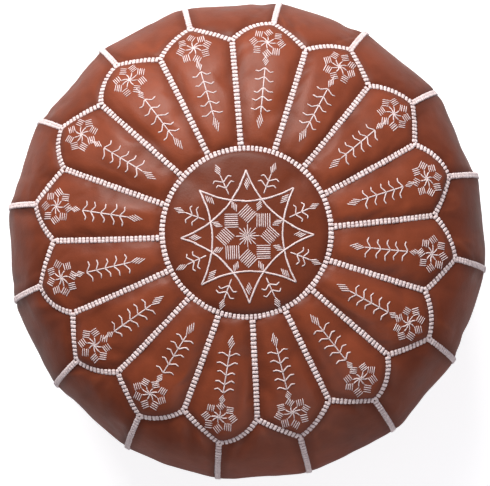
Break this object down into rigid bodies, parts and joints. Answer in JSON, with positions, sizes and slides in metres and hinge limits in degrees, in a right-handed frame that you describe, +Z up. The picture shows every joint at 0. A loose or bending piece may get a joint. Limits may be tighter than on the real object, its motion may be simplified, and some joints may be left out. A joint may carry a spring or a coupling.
{
  "type": "moroccan leather pouf",
  "caption": "Round stuffed leather floor pouf with an embroidered top of petal panels, a ring of side panels, thread-wrapped seams and a zip in its base.",
  "frame": {"origin": "on the floor, under the centre of the pouf, in the plane of the flat ring that it stands on", "axes": "+Z up along the pouf's axis, from the zipped base to the embroidered top; +X along the zip, towards its closed end; one side panel is centred on +X"},
  "size_m": [0.53, 0.53, 0.3308],
  "materials": {
    "leather": "smooth, semi-gloss, hand-dyed tan",
    "silk_thread": "satin silk stitching, pinkish white",
    "cotton_lining": "plain woven cotton",
    "filling": "loose textile stuffing",
    "zip_tape": "woven tape",
    "zip_brass": "satin brass"
  },
  "bodies": {
    "cover": {"petal_panel_01": "leather", "petal_panel_02": "leather", "petal_panel_03": "leather", "petal_panel_04": "leather", "petal_panel_05": "leather", "petal_panel_06": "leather", "petal_panel_07": "leather", "petal_panel_08": "leather", "petal_panel_09": "leather", "petal_panel_10": "leather", "petal_panel_11": "leather", "petal_panel_12": "leather", "petal_panel_13": "leather", "petal_panel_14": "leather", "petal_panel_15": "leather", "petal_panel_16": "leather", "side_panel_01": "leather", "side_panel_02": "leather", "side_panel_03": "leather", "side_panel_04": "leather", "side_panel_05": "leather", "side_panel_06": "leather", "side_panel_07": "leather", "side_panel_08": "leather", "side_panel_09": "leather", "side_panel_10": "leather", "side_panel_11": "leather", "side_panel_12": "leather", "side_panel_13": "leather", "side_panel_14": "leather", "side_panel_15": "leather", "side_panel_16": "leather", "medallion_panel": "leather", "base_panel_left": "leather", "base_panel_right": "leather", "medallion_seam": "silk_thread", "petal_seams": "silk_thread", "arch_seams": "silk_thread", "side_seams": "silk_thread", "base_seam": "silk_thread", "zipper_stitching": "silk_thread", "medallion_embroidery": "silk_thread", "petal_embroidery": "silk_thread", "lining": "cotton_lining", "filling": "filling", "zipper_tape_left": "zip_tape", "zipper_tape_right": "zip_tape", "zipper_teeth_left": "zip_brass", "zipper_teeth_right": "zip_brass", "zipper_top_stops": "zip_brass", "zipper_bottom_stop": "zip_brass"},
    "slider": {"zipper_slider": "zip_brass", "zipper_pull_pin": "zip_brass"},
    "pull_tab": {"zipper_pull_tab": "zip_brass"}
  },
  "joints": [
    {"name": "zip_slide", "type": "slide", "parent": "cover", "child": "slider", "axis": [-1, 0, 0], "range_m": [0, 0.172], "deforming": ["zipper_teeth_left", "zipper_teeth_right"]},
    {"name": "pull_tab_swing", "type": "hinge", "parent": "slider", "child": "pull_tab", "pos_m": [0.088, 0, 0.0108], "axis": [0, 1, 0], "range_deg": [-150, 25]}
  ]
}
